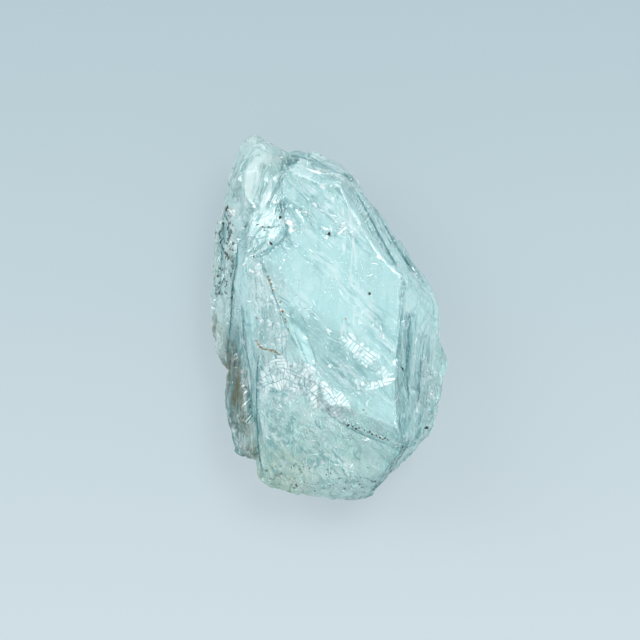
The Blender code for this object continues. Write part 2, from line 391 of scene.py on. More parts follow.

# The tint of the clear stone, and of each region, laid over one another in this order. Hollows get painted
# shade, darker than what stands round them, and edges get a painted highlight, paler.
CLEAR = (0.66, 0.86, 0.86)
TINTS = [
    (high_up, (0.68, 0.89, 0.885)),
    (patch((-0.35, 0.62), (0.30, 0.34)), (0.74, 0.95, 0.945)),
    (table, (0.50, 0.73, 0.73)),
    (lower_face, (0.62, 0.78, 0.72)),
    (lower_corner, (0.72, 0.80, 0.62)),
    (grey_face, (0.57, 0.65, 0.64)),
    (patch((-0.69, 0.08), (0.09, 0.50), 6), (0.66, 0.90, 0.91)),
    (patch((-0.67, -0.42), (0.07, 0.34), 10), (0.30, 0.52, 0.50)),
    (left_slab, (0.74, 0.81, 0.78)),
    (patch((0.0, -0.20), (0.20, 0.44), 48), (0.38, 0.57, 0.565)),
    (foot, (0.045, 0.055, 0.04)),
    (right_flank, (0.56, 0.77, 0.765)),
    (patch((0.80, 0.08), (0.16, 0.28)), (0.70, 0.92, 0.92)),
    (patch((0.86, -0.42), (0.12, 0.30)), (0.66, 0.78, 0.77)),
    (top_face, (0.88, 1.0, 1.0)),
    (horn, (0.90, 1.0, 0.985)),
    (patch((-0.22, -0.15), (0.05, 0.19), 28, 0.3), (0.66, 0.92, 0.91)),
]
tint = np.tile(np.array(CLEAR), (len(stone), 1))
for share, colour in TINTS:
    tint += (np.array(colour) - tint) * share[:, None] * TINT_STRENGTH
# Painted shade in the hollows and a painted highlight on the edges, set by the surface's curvature.
tint *= 1 - 0.45 * fade(hollow, 0.006, 0.035)[:, None] * np.array([1.0, 0.62, 0.6])
tint += (1 - tint) * 0.25 * fade(-hollow, 0.008, 0.04)[:, None]

# Dark smoky places under the skin: middle, radii, turn and strength.
SMOKES = [
    ((0.42, -0.05), (0.06, 0.13), 30, 0.55), ((-0.29, 0.01), (0.06, 0.12), 25, 0.5),
    ((-0.14, 0.62), (0.09, 0.12), 20, 0.30), ((-0.40, -0.60), (0.20, 0.20), 0, 0.7),
    ((-0.05, -0.72), (0.22, 0.12), 0, 0.5), ((0.10, -0.70), (0.20, 0.10), 0, 0.4),
    ((-0.67, -0.42), (0.06, 0.36), 10, 0.9), ((-0.83, -0.58), (0.15, 0.50), 0, 1.0),
    ((0.05, -0.27), (0.10, 0.12), 30, 0.25), ((0.80, -0.55), (0.14, 0.40), 0, 0.5),
    ((0.0, 0.93), (0.30, 0.06), -25, 0.35), ((0.62, -0.30), (0.05, 0.40), 0, 0.5),
    ((-0.58, 0.56), (0.06, 0.12), 50, 0.4),
]
smoke = np.zeros(len(stone))
for centre, radii, turn, strength in SMOKES:
    smoke = np.maximum(smoke, strength * patch(centre, radii, turn, 0.8))

# Where rust has tinged the stone, and where it is pitted.
rust = np.maximum.reduce([
    patch((-0.785, -0.38), (0.075, 0.46), 14, 0.7), patch((-0.65, -0.73), (0.06, 0.10), 0, 0.5),
    0.8 * patch((-0.965, -0.06), (0.03, 0.12), 0, 0.5),
])
pits = np.maximum.reduce([
    patch((-0.87, 0.44), (0.08, 0.30), 15, 0.6), patch((-0.95, 0.17), (0.05, 0.12), 0, 0.5),
    0.5 * patch((-0.40, -0.90), (0.30, 0.12), -8, 0.6), 0.5 * patch((0.25, -0.96), (0.2, 0.08), 0, 0.6),
    0.5 * foot,
])

# The line that the hair cracks follow in each region, and the stone's points squeezed along it.
flow = np.tile(np.array([0.12, 1.0, 0.0]), (len(stone), 1))
for share, heading in (
    (upper_bevel, (0.52, -0.85, 0.0)),
    (top_face, (0.88, -0.47, 0.0)),
    (lower_face, (-0.5, 0.8, 0.0)),
    (table, (0.7, -0.7, 0.0)),
    (horn, (0.4, 0.9, 0.0)),
):
    flow += (np.array(heading) - flow) * share[:, None]
flow /= np.linalg.norm(flow, axis=1)[:, None]
grain = stone - flow * ((stone - core) * flow).sum(1)[:, None] * GRAIN_STRETCH


def keep_on(mesh, name, kind, values):
    """Stores one value, vector or colour for each point of a mesh, for its material to read."""
    field = {"FLOAT": "value", "FLOAT_VECTOR": "vector", "FLOAT_COLOR": "color"}[kind]
    mesh.attributes.new(name, kind, "POINT").data.foreach_set(field, values.astype(np.float32).ravel())


keep_on(crystal_mesh, "tint", "FLOAT_COLOR", np.column_stack([tint, np.ones(len(tint))]))
keep_on(crystal_mesh, "stains", "FLOAT_COLOR", np.column_stack([rust, smoke, pits, lively]))
keep_on(crystal_mesh, "grain", "FLOAT_VECTOR", grain)
keep_on(crystal_mesh, "seam", "FLOAT_VECTOR", seam)
keep_on(crystal_mesh, "film", "FLOAT_VECTOR", film)


def wire(tree, source, target):
    """Joins a node's output to another node's input, or puts a number or a colour there."""
    if isinstance(source, bpy.types.NodeSocket):
        tree.links.new(source, target)
    else:
        target.default_value = source


def add(tree, kind, **values):
    """A shader node, or a copy of a node group, with these values or sockets on its inputs, by name."""
    if isinstance(kind, str):
        node = tree.nodes.new(kind)
    else:
        node = tree.nodes.new("ShaderNodeGroup")
        node.node_tree = kind
    for name, value in values.items():
        wire(tree, value, node.inputs[name.replace("_", " ")])
    return node


def combined(tree, operation, first, second):
    """One Math node on two sockets or numbers."""
    node = tree.nodes.new("ShaderNodeMath")
    node.operation = operation
    wire(tree, first, node.inputs[0])
    wire(tree, second, node.inputs[1])
    return node.outputs[0]


def times(tree, first, second):
    """The product of two sockets or numbers."""
    return combined(tree, "MULTIPLY", first, second)


def ranged(tree, value, start, end, first, last):
    """A socket taken from one range to another, and held at its ends."""
    values = dict(Value=value, From_Min=start, From_Max=end, To_Min=first, To_Max=last)
    return add(tree, "ShaderNodeMapRange", **values).outputs[0]


def mixed(tree, factor, first, second, kind="MIX"):
    """A colour mixed from two colours or sockets by a factor."""
    node = tree.nodes.new("ShaderNodeMix")
    node.data_type = "RGBA"
    node.blend_type = kind
    for value, name in ((factor, "Factor"), (first, "A"), (second, "B")):
        wire(tree, value, next(i for i in node.inputs if i.name == name and i.enabled))
    return next(o for o in node.outputs if o.enabled)


def noise_at(tree, place, scale, detail, **more):
    """The value of a Noise texture."""
    return add(tree, "ShaderNodeTexNoise", Vector=place, Scale=scale, Detail=detail, **more).outputs[0]


def cells_at(tree, place, scale):
    """A Voronoi texture: the distance to each cell's centre, and the cell's own colour."""
    return add(tree, "ShaderNodeTexVoronoi", Vector=place, Scale=scale).outputs


def attribute_of(tree, name):
    """The Attribute node of one of a mesh's own attributes."""
    node = tree.nodes.new("ShaderNodeAttribute")
    node.attribute_name = name
    return node


def parts_of(tree, kind, source):
    """The three numbers of a colour or a vector."""
    node = tree.nodes.new(kind)
    wire(tree, source, node.inputs[0])
    return node.outputs


def new_material(name):
    """A material with its node tree and its Principled shader."""
    made = bpy.data.materials.new(name)
    made.use_nodes = True
    return made, made.node_tree, made.node_tree.nodes["Principled BSDF"]


def new_group(name, inputs, outputs):
    """A shader node group with these sockets, and the sockets of its own two end nodes."""
    group = bpy.data.node_groups.new(name, "ShaderNodeTree")
    for sockets, side in ((inputs, "INPUT"), (outputs, "OUTPUT")):
        for socket, kind in sockets.items():
            group.interface.new_socket(socket, in_out=side, socket_type="NodeSocket" + kind)
    return group, group.nodes.new("NodeGroupInput").outputs, group.nodes.new("NodeGroupOutput").inputs


def hair_lines_group():
    """Fine broken lines, from 0 to 1: where noise passes through its middle, in cloudy stretches."""
    inputs = {"Vector": "Vector", "Scale": "Float", "Width": "Float", "Breaks": "Float"}
    group, inside, result = new_group("hair lines", inputs, {"Lines": "Float", "Relief": "Float"})
    noise = noise_at(group, inside["Vector"], inside["Scale"], 2.0, Roughness=0.55)
    away = combined(group, "ABSOLUTE", combined(group, "SUBTRACT", noise, 0.5), 0.0)
    line = ranged(group, away, 0.0, inside["Width"], 1.0, 0.0)
    stretches = noise_at(group, inside["Vector"], times(group, inside["Scale"], 0.3), 2.0)
    end = combined(group, "ADD", inside["Breaks"], 0.06)
    kept = ranged(group, stretches, inside["Breaks"], end, 0.0, 1.0)
    wire(group, times(group, line, kept), result["Lines"])
    wire(group, noise, result["Relief"])
    return group


hair_lines = hair_lines_group()


def lines_in(tree, vector, scale, width, breaks):
    """A copy of the hair line group in a material."""
    return add(tree, hair_lines, Vector=vector, Scale=scale, Width=width, Breaks=breaks)


def plates_group():
    """Silvery plates of two sizes in courses that sway, with dark joints and a few finer cracks."""
    sockets = {"Course": "Vector", "Place": "Vector"}
    group, inside, result = new_group("silvery plates", sockets, {"Colour": "Color"})
    bend = add(group, "ShaderNodeTexNoise", Vector=inside["Place"], Scale=380.0, Detail=1.5)
    sway = group.nodes.new("ShaderNodeVectorMath")
    sway.operation = "MULTIPLY_ADD"
    for value, target in zip((bend.outputs["Color"], (1.3, 1.0, 0.0), inside["Course"]), sway.inputs):
        wire(group, value, target)
    sizes = []
    for width, height in ((1.2, 0.34), (0.42, 0.95)):
        bricks = add(
            group, "ShaderNodeTexBrick", Vector=sway.outputs[0], Color1=(0.62, 0.80, 0.81, 1),
            Color2=(1.0, 1.0, 1.0, 1), Mortar=(0.12, 0.30, 0.33, 1), Scale=1.0, Mortar_Size=0.035,
            Mortar_Smooth=0.3, Bias=0.1, Brick_Width=width, Row_Height=height,
        )
        sizes.append(bricks.outputs["Color"])
    which = noise_at(group, inside["Place"], 500.0, 1.0)
    colour = mixed(group, ranged(group, which, 0.48, 0.50, 0.0, 1.0), *sizes)
    finer = lines_in(group, inside["Place"], 1300.0, 0.04, 0.52).outputs["Lines"]
    wire(group, mixed(group, times(group, finer, 0.7), colour, (0.30, 0.55, 0.58, 1)), result["Colour"])
    return group


silvery_plates = plates_group()

TRANSMISSION = 0.70
BERYL_IOR = 1.577
ABSORBED_COLOUR = (0.20, 0.92, 0.90, 1)
ABSORBED_DENSITY = 14.0
WHITE = (1.0, 1.0, 1.0)
PALE = (0.95, 1.0, 1.0)
TEAL = (0.22, 0.50, 0.52)

beryl, tree, shader = new_material("clear beryl")
shader.inputs["Transmission Weight"].default_value = TRANSMISSION
shader.inputs["IOR"].default_value = BERYL_IOR
absorb = add(tree, "ShaderNodeVolumeAbsorption", Color=ABSORBED_COLOUR, Density=ABSORBED_DENSITY)
wire(tree, absorb.outputs["Volume"], tree.nodes["Material Output"].inputs["Volume"])

place = tree.nodes.new("ShaderNodeTexCoord").outputs["Object"]
along_grain = attribute_of(tree, "grain").outputs["Vector"]
stains = attribute_of(tree, "stains").outputs
rust_here, smoke_here, pits_here = parts_of(tree, "ShaderNodeSeparateColor", stains["Color"])
busy_here = stains["Alpha"]
vectors = [attribute_of(tree, name).outputs["Vector"] for name in ("seam", "film")]
by_seam, by_film = (parts_of(tree, "ShaderNodeSeparateXYZ", vector) for vector in vectors)

# The body: mottled along the grain, milky in places and smoky in others.
mottle = noise_at(tree, along_grain, 1100.0, 6.0, Roughness=0.68)
milky = noise_at(tree, place, 420.0, 4.0, Roughness=0.6)
smudge = noise_at(tree, place, 1500.0, 5.0, Roughness=0.65, Distortion=0.5)
shaded = ranged(tree, busy_here, 0.15, 0.7, 0.0, 1.0)
shaded = times(tree, ranged(tree, mottle, 0.38, 0.54, 0.60, 0.0), shaded)
smoky = times(tree, smoke_here, ranged(tree, smudge, 0.42, 0.56, 1.0, 0.0))

# The cracks: along the seams, along the grain, and three families of straight ones across it.
near_seam = ranged(tree, by_seam[2], 0.1, 0.7, 0.0, 0.85)
squeezed = times(tree, by_seam[1], 0.12)
seam_place = add(tree, "ShaderNodeCombineXYZ", X=by_seam[0], Y=squeezed).outputs[0]
# Dark lines along the seams: partly hair cracks, partly painted shade along the stone's edges.
seam_crack_and_shade = times(tree, lines_in(tree, seam_place, 2.0, 0.075, 0.38).outputs["Lines"], near_seam)
seam_pale = lines_in(tree, seam_place, 1.35, 0.06, 0.48).outputs["Lines"]
dark_lines = lines_in(tree, along_grain, 1350.0, 0.075, 0.48).outputs
pale_lines = lines_in(tree, along_grain, 1900.0, 0.09, 0.52).outputs
crossing = []
for turn in (0.7, -0.5, 1.35):
    turned = add(tree, "ShaderNodeMapping", Vector=place, Rotation=(0, 0, turn), Scale=(1, 0.08, 0.5))
    crossing.append(lines_in(tree, turned.outputs[0], 1250.0, 0.05, 0.56).outputs["Lines"])

# White flecks, where a small cell drew a high number: painted glints, white in the base colour.
fleck_draw = cells_at(tree, mixed(tree, 0.5, place, along_grain), 4200.0)["Color"]
fleck_draw = parts_of(tree, "ShaderNodeSeparateColor", fleck_draw)
drawn = combined(tree, "ADD", fleck_draw[0], ranged(tree, busy_here, 0.2, 1.0, -0.01, 0.018))
painted_glint = combined(tree, "GREATER_THAN", drawn, 0.985)

# The faint films, with a ragged edge, then the rust and the pits.
film_place = add(tree, "ShaderNodeCombineXYZ", X=by_film[0], Y=by_film[1]).outputs[0]
plates = add(tree, silvery_plates, Course=film_place, Place=place).outputs["Colour"]
ragged = times(tree, combined(tree, "SUBTRACT", noise_at(tree, place, 1100.0, 2.0), 0.5), 1.6)
film_here = ranged(tree, combined(tree, "ADD", by_film[2], ragged), 0.50, 0.56, 0.0, 0.92)
rusty = times(tree, rust_here, ranged(tree, mottle, 0.42, 0.58, 0.25, 1.0))
pit_cells = cells_at(tree, mixed(tree, 0.6, place, along_grain), 2600.0)["Distance"]
pit_size = times(tree, ranged(tree, smudge, 0.42, 0.60, 0.0, 0.75), pits_here)
pit = combined(tree, "LESS_THAN", pit_cells, pit_size)

colour = attribute_of(tree, "tint").outputs["Color"]
for mask, shade in (
    (shaded, (0.22, 0.46, 0.47)),
    (ranged(tree, milky, 0.50, 0.75, 0.0, 0.35), (0.92, 1.0, 1.0)),
    (smoky, (0.12, 0.30, 0.31)),
    (times(tree, dark_lines["Lines"], ranged(tree, busy_here, 0.0, 0.8, 0.15, 1.0)), (0.13, 0.32, 0.34)),
    (times(tree, crossing[0], 0.6), TEAL),
    (times(tree, crossing[1], 0.75), WHITE),
    (times(tree, crossing[2], 0.5), TEAL),
    (seam_crack_and_shade, (0.11, 0.28, 0.30)),
    (times(tree, seam_pale, ranged(tree, by_seam[2], 0.1, 0.7, 0.0, 0.8)), PALE),
    (times(tree, pale_lines["Lines"], ranged(tree, busy_here, 0.0, 1.0, 0.35, 0.9)), PALE),
    (painted_glint, WHITE),
    (film_here, plates),
    (rusty, (0.12, 0.095, 0.035)),
    (times(tree, pit, 0.9), (0.03, 0.07, 0.07)),
):
    colour = mixed(tree, mask, colour, (*shade, 1) if isinstance(shade, tuple) else shade)
wire(tree, colour, shader.inputs["Base Color"])

rough = combined(tree, "MAXIMUM", times(tree, painted_glint, 0.3), ranged(tree, mottle, 0.3, 0.7, 0.03, 0.22))
wire(tree, combined(tree, "MAXIMUM", rough, times(tree, film_here, 0.3)), shader.inputs["Roughness"])

height = combined(tree, "ADD", times(tree, fleck_draw[1], 0.5), dark_lines["Relief"])
height = combined(tree, "SUBTRACT", height, times(tree, seam_crack_and_shade, 0.8))
height = combined(tree, "ADD", height, times(tree, pale_lines["Relief"], 0.5))
lift = ranged(tree, busy_here, 0.0, 1.0, 0.06, 0.6)
bump = add(tree, "ShaderNodeBump", Strength=lift, Distance=0.10 * MM, Height=height)
wire(tree, bump.outputs["Normal"], shader.inputs["Normal"])
crystal_mesh.materials.append(beryl)

# ------------------------------------------------------------------------------------------------
# Slivers and flakes. The real stone is full of short cracks and films just below its skin. Air in them
# mirrors the light as white strokes, and the ones seen edge-on are dark. Here the white strokes are a
# painted reflection, pale solid slivers, and the dark ones are partly painted shade. They lie in its flow.

HAIR_STATIONS = np.array([0.0, 0.25, 0.6, 0.85, 1.0])
HAIR_GIRTH = np.array([0.0, 0.8, 1.0, 0.6, 0.0])
HAIR_SECTION = np.array([[1.0, 0.0], [0.0, 0.3], [-1.0, 0.0], [0.0, -0.3]])


def new_piece(name, points, faces, material, slot):
    """A joined mesh of small closed pieces that rides on the stone's body."""
    mesh = bpy.data.meshes.new(name)
    mesh.from_pydata(points.reshape(-1, 3).tolist(), [], faces)
    mesh.materials.append(material)
    made = bpy.data.objects.new(name, mesh)
    bpy.context.scene.collection.objects.link(made)
    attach(made, "root")
    return made


def repeated(faces, count, step):
    """The faces of one small piece for count pieces, each of which has step points of its own."""
    starts = range(0, count * step, step)
    return [[index + start for index in face] for start in starts for face in faces]


def slivers(start, along, across, length, width, bend):
    """Points and faces of many tapering slivers at once.

    Each is a flat four-sided section carried along its length, wide in the middle and nothing at
    its two ends, and bowed sideways by a parabola of its length.
    """
    count = len(start)
    t = HAIR_STATIONS[None, :, None]
    spine = start[:, None] + along[:, None] * (t - 0.5) * length[:, None, None]
    spine = spine + across[:, None] * (t * (1 - t)) * (bend * length)[:, None, None]
    flat = np.cross(along, across)
    rings = spine[:, 1:-1, None] + (
        across[:, None, None] * HAIR_SECTION[None, None, :, :1]
        + flat[:, None, None] * HAIR_SECTION[None, None, :, 1:]
    ) * (HAIR_GIRTH[None, 1:-1, None, None] * width[:, None, None, None])
    points = np.concatenate([spine[:, :1], rings.reshape(count, -1, 3), spine[:, -1:]], 1)
    stations = len(HAIR_STATIONS) - 2
    last = 1 + 4 * stations
    faces = []
    for k in range(4):
        turn = (k + 1) % 4
        faces.append([0, 1 + turn, 1 + k])
        faces.append([last, last - 4 + k, last - 4 + turn])
        for ring in range(stations - 1):
            base = 1 + 4 * ring
            faces.append([base + k, base + turn, base + 4 + turn, base + 4 + k])
    return points, repeated(faces, count, last + 1)


GRID = 0.12 * MM
FILL_PASSES = 6
SHRINK_PASSES = 7
STANDS_CLEAR = 0.15 * MM


def around(grid, past):
    """Each square of a grid with its eight neighbours, as nine grids, and one value past its edges."""
    padded = np.pad(grid, 1, constant_values=past)
    rows, columns = grid.shape
    return np.stack([padded[i:i + rows, j:j + columns] for i in range(3) for j in range(3)])


def skin_map():
    """The height of the upper skin on a grid: the highest point in each square.

    A square that no point fell in takes the mean of its known neighbours, pass after pass.
    """
    size = np.ceil((high - low)[:2] / GRID).astype(int) + 3
    heights = np.full(size, -1.0)
    cell = np.round((stone[:, :2] - low[:2]) / GRID).astype(int) + 1
    np.maximum.at(heights, (cell[:, 0], cell[:, 1]), np.where(normals[:, 2] > 0.02, stone[:, 2], -1.0))
    for _ in range(FILL_PASSES):
        near = around(heights, -1.0)
        known = near >= 0
        mean = np.where(known, near, 0).sum(0) / np.maximum(known.sum(0), 1)
        heights = np.where((heights < 0) & (known.sum(0) > 2), mean, heights)
    return np.maximum(heights, low[2])


def solid_map():
    """Where the stone lies under the skin map: its raised squares, less the rim that filling added."""
    full = skin > low[2] + 2 * MM
    for _ in range(SHRINK_PASSES):
        full = around(full, False)[[1, 3, 4, 5, 7]].all(0)
    return full


skin = skin_map()
solid = solid_map()


def below(places, depth):
    """Points at places (fractions of half width and half length), so far below the upper skin."""
    xy = middle[:2] + places * half[:2]
    cell = np.clip((xy - low[:2]) / GRID + 1, 0, np.array(skin.shape) - 2)
    base = np.floor(cell).astype(int)
    part = cell - base
    x, y = base[..., 0], base[..., 1]
    fx, fy = part[..., 0], part[..., 1]
    height = (skin[x, y] * (1 - fx) + skin[x + 1, y] * fx) * (1 - fy)
    height = height + (skin[x, y + 1] * (1 - fx) + skin[x + 1, y + 1] * fx) * fy
    return np.concatenate([xy, (height - depth)[..., None]], -1)


def over_stone(places):
    """Whether each place lies on the solid map."""
    square = np.round((middle[:2] + places * half[:2] - low[:2]) / GRID).astype(int) + 1
    square = np.clip(square, 0, np.array(solid.shape) - 1)
    return solid[square[..., 0], square[..., 1]]


def scatter(rng, count, weight, directions, lengths, widths, depths, wander, tilt):
    """Slivers below the skin at random points, chosen by weight, laid along the flow and tilted.

    A sliver whose end would stand clear of the stone, past an edge, is left out.
    """
    share = np.clip(weight, 0, None)
    picked = rng.choice(len(stone), count, p=share / share.sum())
    out = normals[picked]
    heading = directions[picked] + rng.normal(0, wander, (count, 3))
    along = heading - out * (heading * out).sum(1)[:, None]
    along /= np.linalg.norm(along, axis=1)[:, None]
    across = np.cross(out, along)
    lean = rng.normal(0, tilt, count)[:, None]
    across = across * np.cos(lean) + out * np.sin(lean)
    length = rng.uniform(*lengths, count) * MM
    width = rng.uniform(*widths, count) * MM
    deep = width * np.abs(np.sin(lean[:, 0])) + rng.uniform(*depths, count) * MM
    start = stone[picked] - out * deep[:, None]
    bow = rng.normal(0, 0.35, count)
    ends = start[:, None] + along[:, None] * np.array([-0.5, 0.5])[:, None] * length[:, None, None]
    places = (ends[..., :2] - middle[:2]) / half[:2]
    clear = ends[..., 2] - below(places, 0.0)[..., 2]
    kept = (over_stone(places) & (clear < STANDS_CLEAR)).all(1)
    return slivers(start[kept], along[kept], across[kept], length[kept], width[kept], bow[kept])


def mottling_group():
    """A colour and a roughness that wander between two values with fine noise, and its height."""
    inputs = {"Dark": "Color", "Light": "Color", "Smoothest": "Float", "Roughest": "Float"}
    outputs = {"Colour": "Color", "Roughness": "Float", "Height": "Float"}
    group, inside, result = new_group("fine mottling", inputs, outputs)
    noise = noise_at(group, group.nodes.new("ShaderNodeTexCoord").outputs["Object"], 2500.0, 4.0)
    wire(group, mixed(group, noise, inside["Dark"], inside["Light"]), result["Colour"])
    wire(group, ranged(group, noise, 0.0, 1.0, inside["Smoothest"], inside["Roughest"]), result["Roughness"])
    wire(group, noise, result["Height"])
    return group


fine_mottling = mottling_group()


def plain_material(name, colour, roughness, specular=0.5):
    """A Principled material whose colour is mottled and whose surface is finely uneven."""
    material, tree, shader = new_material(name)
    shader.inputs["Specular IOR Level"].default_value = specular
    dark = (*(c * 0.75 for c in colour), 1)
    light = (*(min(1, c * 1.2) for c in colour), 1)
    extremes = dict(Dark=dark, Light=light, Smoothest=roughness * 0.7, Roughest=roughness * 1.3)
    mottling = add(tree, fine_mottling, **extremes).outputs
    wire(tree, mottling["Colour"], shader.inputs["Base Color"])
    wire(tree, mottling["Roughness"], shader.inputs["Roughness"])
    bump = add(tree, "ShaderNodeBump", Strength=0.4, Distance=0.05 * MM, Height=mottling["Height"])
    wire(tree, bump.outputs["Normal"], shader.inputs["Normal"])
    return material


# The silvery film colour is a painted reflection: pale strokes stand in for the light that air in the real
# cracks mirrors.
silver = plain_material("silvery film", (0.56, 0.61, 0.61), 0.3)
# The edge-on crack colour is partly painted shade: its dark strokes stand for real cracks seen edge-on and
# for the shade of fractures.
shade = plain_material("edge-on crack", (0.075, 0.19, 0.205), 0.45, 0.2)
wisp = plain_material("white fibre", (0.40, 0.59, 0.57), 0.5)
rng = np.random.default_rng(21)
seen = fade(up, 0.25, 0.6) * (1 - resting) * (1 - foot) * (1 - 0.8 * left_slab)
crack_and_shade_weight = (0.1 + seam[:, 2]) * lively
fibrous = lower_face + 0.30 * grey_face + 0.05 * table

# Each kind has its name, number, weight, lengths, widths and depths in mm, how far its pieces wander
# from the flow, how far they lean in radians, and its material.
# The silver kinds stand for cracks whose brightness is a painted reflection, and the dark slivers for cracks
# that are partly painted shade.
SCATTERED = [
    ("silver_slivers", 700, lively + 0.02, (0.2, 0.8), (0.015, 0.04), (-0.01, 0.03), 0.5, 0.4, silver),
    ("dark_slivers", 700, crack_and_shade_weight, (0.4, 1.8), (0.02, 0.045), (-0.01, 0.03), 0.18, 0.4, shade),
    ("silver_flakes", 70, lively**2, (0.2, 0.7), (0.03, 0.08), (-0.01, 0.04), 0.8, 0.3, silver),
    ("white_hairs", 170, fibrous, (0.8, 3.4), (0.012, 0.024), (-0.01, 0.04), 0.6, 0.3, wisp),
]
for name, count, weight, lengths, widths, depths, wander, lean, material in SCATTERED:
    strokes = scatter(rng, count, seen * weight, flow, lengths, widths, depths, wander, lean)
    new_piece(name, *strokes, material, "silver_fracture")

# ------------------------------------------------------------------------------------------------
# The edge cracks and the ripples. Where two fractures meet, the real stone's edge is bruised into bundles of
# dark hair cracks along it, and the dark strands here stand partly for them and partly for painted shade
# along the edges; beside its table a blow has left shell-like arcs.

RIPPLE_CENTRE = (0.06, 0.66)
RIPPLE_RADII = (1.9, 2.2, 2.45, 2.75, 3.0, 3.3, 3.55)
RIPPLE_ARC = (-78, -8)
CRACK_COPIES = 5


def strand(path, count, width, depth, wobble, seed):
    """Points and faces of one hair crack: a flat four-sided section carried along a smooth path.

    The path drifts sideways at random, and what leaves the stone is cut off.
    """
    draws = np.random.default_rng(seed)
    line = along_path(path, count)
    drift = np.cumsum(draws.normal(0, 1, (count, 2)), 0)
    drift -= np.linspace(0, 1, count)[:, None] * drift[-1]
    line = line + (drift * wobble / math.sqrt(count) + draws.normal(0, 0.5 * wobble, 2)) / half[:2]
    line = line[over_stone(line)]
    count = len(line)
    spine = below(line, depth * draws.uniform(0.6, 1.4))
    heading = np.gradient(spine, axis=0)
    heading /= np.linalg.norm(heading, axis=1)[:, None]
    sideways = np.cross(heading, [0, 0, 1.0])
    sideways /= np.linalg.norm(sideways, axis=1)[:, None]
    lift = np.cross(sideways, heading)
    girth = width * np.clip(0.75 + 0.5 * draws.normal(0, 1, count), 0.15, 2)
    girth *= np.sin(np.linspace(0.03, 0.97, count) * math.pi) ** 0.4
    rings = spine[:, None] + girth[:, None, None] * (
        sideways[:, None] * HAIR_SECTION[None, :, :1] + lift[:, None] * HAIR_SECTION[None, :, 1:]
    )
    base = 4 * np.arange(count - 1)[:, None]
    k = np.arange(4)[None]
    turn = (k + 1) % 4
    sides = np.stack([base + k, base + 4 + k, base + 4 + turn, base + turn], -1).reshape(-1, 4)
    last = 4 * count - 1
    ends = [[0, 1, 2, 3], [last, last - 1, last - 2, last - 3]]
    return rings.reshape(-1, 3), sides.tolist() + ends


def joined(parts):
    """Several sets of points and faces as one."""
    points, faces, offset = [], [], 0
    for part_points, part_faces in parts:
        part_points = part_points.reshape(-1, 3)
        points.append(part_points)
        faces += [[index + offset for index in face] for face in part_faces]
        offset += len(part_points)
    return np.concatenate(points), faces


# These dark strands, in the edge-on crack colour, are partly painted shade along the edges.
cracks = [
    strand(path, 70, width=0.040 * MM, depth=0.004 * MM, wobble=0.30 * spread * MM, seed=100 * number + copy)
    for number, (path, spread, strength) in enumerate(SEAMS)
    for copy in range(round(CRACK_COPIES * strength))
]
new_piece("ridge_cracks_and_shade", *joined(cracks), shade, "silver_fracture")

# The arcs are drawn in the silvery film colour, a painted reflection.
ripples = []
for number, radius in enumerate(RIPPLE_RADII):
    angles = np.radians(np.linspace(*RIPPLE_ARC, 7) + 6 * math.sin(2 * number))[number % 3:]
    arc = RIPPLE_CENTRE + np.column_stack([np.cos(angles), np.sin(angles)]) * radius * MM / half[:2]
    ripples.append(strand(arc, 40, width=0.030 * MM, depth=0.0, wobble=0.10 * MM, seed=900 + number))
new_piece("ripple_arcs", *joined(ripples), silver, "silver_fracture")

# ------------------------------------------------------------------------------------------------
# The silvery films. Single cracks reach the skin of the real stone as bright flat mirrors, each a millimetre
# or so long, here pale solid lenses whose brightness is a painted reflection, and healed ones lie there as
# sheets of small plates. They follow the skin.

LENS_SIDES = 9


def lenses(draws, spots, rise, sink, grown=1.0):
    """Points and faces of flat closed lumps in the skin: place, length and width in mm, and turn.

    Each has a rim of jittered points of an ellipse that follows the skin, one point above its
    middle and one below it.
    """
    spots = np.array(spots, float) * (1, 1, grown, grown, 1)
    spots = spots[over_stone(spots[:, :2])]
    count = len(spots)
    theta = np.arange(LENS_SIDES) / LENS_SIDES * 2 * math.pi
    reach_out = draws.uniform(0.40, 1.25, (count, LENS_SIDES))
    x = np.cos(theta) * reach_out * spots[:, 2:3] / 2
    y = np.sin(theta) * reach_out * spots[:, 3:4] / 2
    turn = np.radians(spots[:, 4:5])
    offset = np.stack([x * np.cos(turn) - y * np.sin(turn), x * np.sin(turn) + y * np.cos(turn)], -1) * MM
    rim = below(spots[:, None, :2] + offset / half[:2], 0.01 * MM)
    top = below(spots[:, None, :2], -rise)
    bottom = below(spots[:, None, :2], sink)
    most = spots[:, 2:3] * MM / 2
    rim[..., 2] = np.clip(rim[..., 2], top[..., 2] - most, top[..., 2] + most)
    points = np.concatenate([top, rim, bottom], 1)
    ring = [1 + k for k in range(LENS_SIDES)]
    faces = [[0, a, b] for a, b in zip(ring, ring[1:] + ring[:1])]
    faces += [[LENS_SIDES + 1, b, a] for a, b in zip(ring, ring[1:] + ring[:1])]
    return points, repeated(faces, count, LENS_SIDES + 2)


